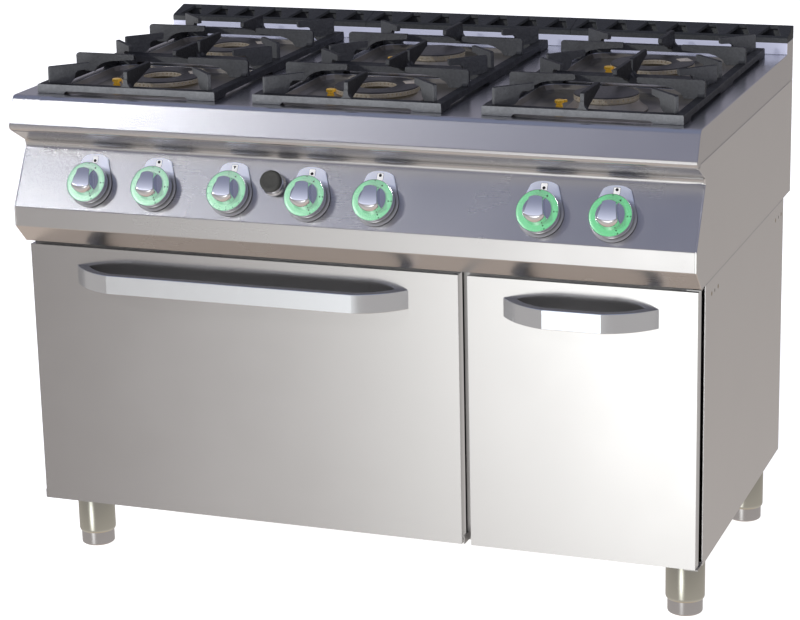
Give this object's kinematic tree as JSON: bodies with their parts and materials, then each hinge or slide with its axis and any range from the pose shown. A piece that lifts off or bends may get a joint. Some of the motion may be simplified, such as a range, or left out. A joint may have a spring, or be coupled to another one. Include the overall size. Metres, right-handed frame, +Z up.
{
  "type": "commercial gas range",
  "caption": "Free-standing stainless gas range: open burners with cast grates on a pressed worktop, oven with drop-down door at left, cupboard at right, on adjustable feet.",
  "frame": {"origin": "centre of the footprint (the bounding box seen from above), on the floor plane under the feet", "axes": "+X to the right seen from the front, +Y towards the back, +Z up"},
  "size_m": [1.2, 0.753, 0.9],
  "materials": {
    "stainless": "fine satin grain",
    "panel": "smooth satin, softly reflecting",
    "chrome": "polished",
    "cast_iron": "sand-cast, matt black",
    "crown": "machined top, dark enamel",
    "alloy": "cast, warm grey",
    "brass": "machined",
    "enamel": "dark vitreous enamel",
    "zinc": "zinc plated",
    "handle": "satin painted",
    "foot": "drawn tube",
    "button_cap": "grained rubber-like plastic"
  },
  "bodies": {
    "range_body": {"worktop": "stainless", "vent_grille_left": "cast_iron", "vent_grille_middle": "cast_iron", "vent_grille_right": "cast_iron", "upper_casing": "stainless", "control_panel": "panel", "gas_rail_with_taps": "brass", "igniter_housing": "chrome", "burner_body_front_left": "alloy", "burner_body_rear_left": "alloy", "burner_body_front_middle": "alloy", "burner_body_rear_middle": "alloy", "burner_body_front_right": "alloy", "burner_body_rear_right": "alloy", "burner_crown_front_left": "crown", "burner_crown_rear_left": "crown", "burner_crown_front_middle": "crown", "burner_crown_rear_middle": "crown", "burner_crown_front_right": "crown", "burner_crown_rear_right": "crown", "side_panel_left": "stainless", "side_panel_right": "stainless", "carcass_frame": "stainless", "oven_liner": "enamel", "oven_flame_tube": "zinc", "oven_shelf": "zinc", "foot_sleeve_front_left": "foot", "foot_sleeve_rear_left": "foot", "foot_sleeve_front_right": "foot", "foot_sleeve_rear_right": "foot"},
    "spindle_front_left": {"tap_spindle_front_left": "zinc"},
    "knob_front_left": {"knob_front_left": "chrome"},
    "spindle_rear_left": {"tap_spindle_rear_left": "zinc"},
    "knob_rear_left": {"knob_rear_left": "chrome"},
    "spindle_oven": {"tap_spindle_oven": "zinc"},
    "knob_oven": {"knob_oven": "chrome"},
    "spindle_front_middle": {"tap_spindle_front_middle": "zinc"},
    "knob_front_middle": {"knob_front_middle": "chrome"},
    "spindle_rear_middle": {"tap_spindle_rear_middle": "zinc"},
    "knob_rear_middle": {"knob_rear_middle": "chrome"},
    "spindle_front_right": {"tap_spindle_front_right": "zinc"},
    "knob_front_right": {"knob_front_right": "chrome"},
    "spindle_rear_right": {"tap_spindle_rear_right": "zinc"},
    "knob_rear_right": {"knob_rear_right": "chrome"},
    "igniter_button": {"igniter_button": "button_cap"},
    "oven_door": {"oven_door_panel": "stainless", "oven_door_liner": "zinc", "oven_door_handle": "handle"},
    "cupboard_door": {"cupboard_door": "stainless", "cupboard_door_handle": "handle"},
    "grate_front_left": {"grate_front_left": "cast_iron"},
    "grate_rear_left": {"grate_rear_left": "cast_iron"},
    "grate_front_middle": {"grate_front_middle": "cast_iron"},
    "grate_rear_middle": {"grate_rear_middle": "cast_iron"},
    "grate_front_right": {"grate_front_right": "cast_iron"},
    "grate_rear_right": {"grate_rear_right": "cast_iron"},
    "foot_front_left": {"foot_adjuster_front_left": "zinc"},
    "foot_rear_left": {"foot_adjuster_rear_left": "zinc"},
    "foot_front_right": {"foot_adjuster_front_right": "zinc"},
    "foot_rear_right": {"foot_adjuster_rear_right": "zinc"}
  },
  "joints": [
    {"name": "push_front_left", "type": "slide", "parent": "range_body", "child": "spindle_front_left", "axis": [0, 0.867, -0.4984], "range_m": [0, 0.003], "stiffness_N_per_m": 2500, "springref_m": -0.003},
    {"name": "turn_front_left", "type": "hinge", "parent": "spindle_front_left", "child": "knob_front_left", "pos_m": [-0.46, -0.33008, 0.70459], "axis": [0, -0.867, 0.4984], "range_deg": [0, 180]},
    {"name": "push_rear_left", "type": "slide", "parent": "range_body", "child": "spindle_rear_left", "axis": [0, 0.867, -0.4984], "range_m": [0, 0.003], "stiffness_N_per_m": 2500, "springref_m": -0.003},
    {"name": "turn_rear_left", "type": "hinge", "parent": "spindle_rear_left", "child": "knob_rear_left", "pos_m": [-0.34, -0.33008, 0.70459], "axis": [0, -0.867, 0.4984], "range_deg": [0, 180]},
    {"name": "push_oven", "type": "slide", "parent": "range_body", "child": "spindle_oven", "axis": [0, 0.867, -0.4984], "range_m": [0, 0.003], "stiffness_N_per_m": 2500, "springref_m": -0.003},
    {"name": "turn_oven", "type": "hinge", "parent": "spindle_oven", "child": "knob_oven", "pos_m": [-0.2, -0.33008, 0.70459], "axis": [0, -0.867, 0.4984], "range_deg": [0, 270]},
    {"name": "push_front_middle", "type": "slide", "parent": "range_body", "child": "spindle_front_middle", "axis": [0, 0.867, -0.4984], "range_m": [0, 0.003], "stiffness_N_per_m": 2500, "springref_m": -0.003},
    {"name": "turn_front_middle", "type": "hinge", "parent": "spindle_front_middle", "child": "knob_front_middle", "pos_m": [-0.06, -0.33008, 0.70459], "axis": [0, -0.867, 0.4984], "range_deg": [0, 180]},
    {"name": "push_rear_middle", "type": "slide", "parent": "range_body", "child": "spindle_rear_middle", "axis": [0, 0.867, -0.4984], "range_m": [0, 0.003], "stiffness_N_per_m": 2500, "springref_m": -0.003},
    {"name": "turn_rear_middle", "type": "hinge", "parent": "spindle_rear_middle", "child": "knob_rear_middle", "pos_m": [0.06, -0.33008, 0.70459], "axis": [0, -0.867, 0.4984], "range_deg": [0, 180]},
    {"name": "push_front_right", "type": "slide", "parent": "range_body", "child": "spindle_front_right", "axis": [0, 0.867, -0.4984], "range_m": [0, 0.003], "stiffness_N_per_m": 2500, "springref_m": -0.003},
    {"name": "turn_front_right", "type": "hinge", "parent": "spindle_front_right", "child": "knob_front_right", "pos_m": [0.34, -0.33008, 0.70459], "axis": [0, -0.867, 0.4984], "range_deg": [0, 180]},
    {"name": "push_rear_right", "type": "slide", "parent": "range_body", "child": "spindle_rear_right", "axis": [0, 0.867, -0.4984], "range_m": [0, 0.003], "stiffness_N_per_m": 2500, "springref_m": -0.003},
    {"name": "turn_rear_right", "type": "hinge", "parent": "spindle_rear_right", "child": "knob_rear_right", "pos_m": [0.46, -0.33008, 0.70459], "axis": [0, -0.867, 0.4984], "range_deg": [0, 180]},
    {"name": "igniter_press", "type": "slide", "parent": "range_body", "child": "igniter_button", "axis": [0, 0.867, -0.4984], "range_m": [0, 0.005], "stiffness_N_per_m": 900, "springref_m": -0.005},
    {"name": "oven_door_hinge", "type": "hinge", "parent": "range_body", "child": "oven_door", "pos_m": [0, -0.30201, 0.1253], "axis": [1, 0, 0], "range_deg": [0, 90]},
    {"name": "cupboard_door_hinge", "type": "hinge", "parent": "range_body", "child": "cupboard_door", "pos_m": [0.5867, -0.30201, 0.35], "axis": [0, 0, 1], "range_deg": [0, 110]},
    {"name": "lift_grate_front_left", "type": "slide", "parent": "range_body", "child": "grate_front_left", "axis": [0, 0, 1], "range_m": [0, 0.06]},
    {"name": "lift_grate_rear_left", "type": "slide", "parent": "range_body", "child": "grate_rear_left", "axis": [0, 0, 1], "range_m": [0, 0.06]},
    {"name": "lift_grate_front_middle", "type": "slide", "parent": "range_body", "child": "grate_front_middle", "axis": [0, 0, 1], "range_m": [0, 0.06]},
    {"name": "lift_grate_rear_middle", "type": "slide", "parent": "range_body", "child": "grate_rear_middle", "axis": [0, 0, 1], "range_m": [0, 0.06]},
    {"name": "lift_grate_front_right", "type": "slide", "parent": "range_body", "child": "grate_front_right", "axis": [0, 0, 1], "range_m": [0, 0.06]},
    {"name": "lift_grate_rear_right", "type": "slide", "parent": "range_body", "child": "grate_rear_right", "axis": [0, 0, 1], "range_m": [0, 0.06]},
    {"name": "level_foot_front_left", "type": "slide", "parent": "range_body", "child": "foot_front_left", "axis": [0, 0, -1], "range_m": [-0.015, 0.03], "stiffness_N_per_m": 400000},
    {"name": "level_foot_rear_left", "type": "slide", "parent": "range_body", "child": "foot_rear_left", "axis": [0, 0, -1], "range_m": [-0.015, 0.03], "stiffness_N_per_m": 400000},
    {"name": "level_foot_front_right", "type": "slide", "parent": "range_body", "child": "foot_front_right", "axis": [0, 0, -1], "range_m": [-0.015, 0.03], "stiffness_N_per_m": 400000},
    {"name": "level_foot_rear_right", "type": "slide", "parent": "range_body", "child": "foot_rear_right", "axis": [0, 0, -1], "range_m": [-0.015, 0.03], "stiffness_N_per_m": 400000}
  ]
}
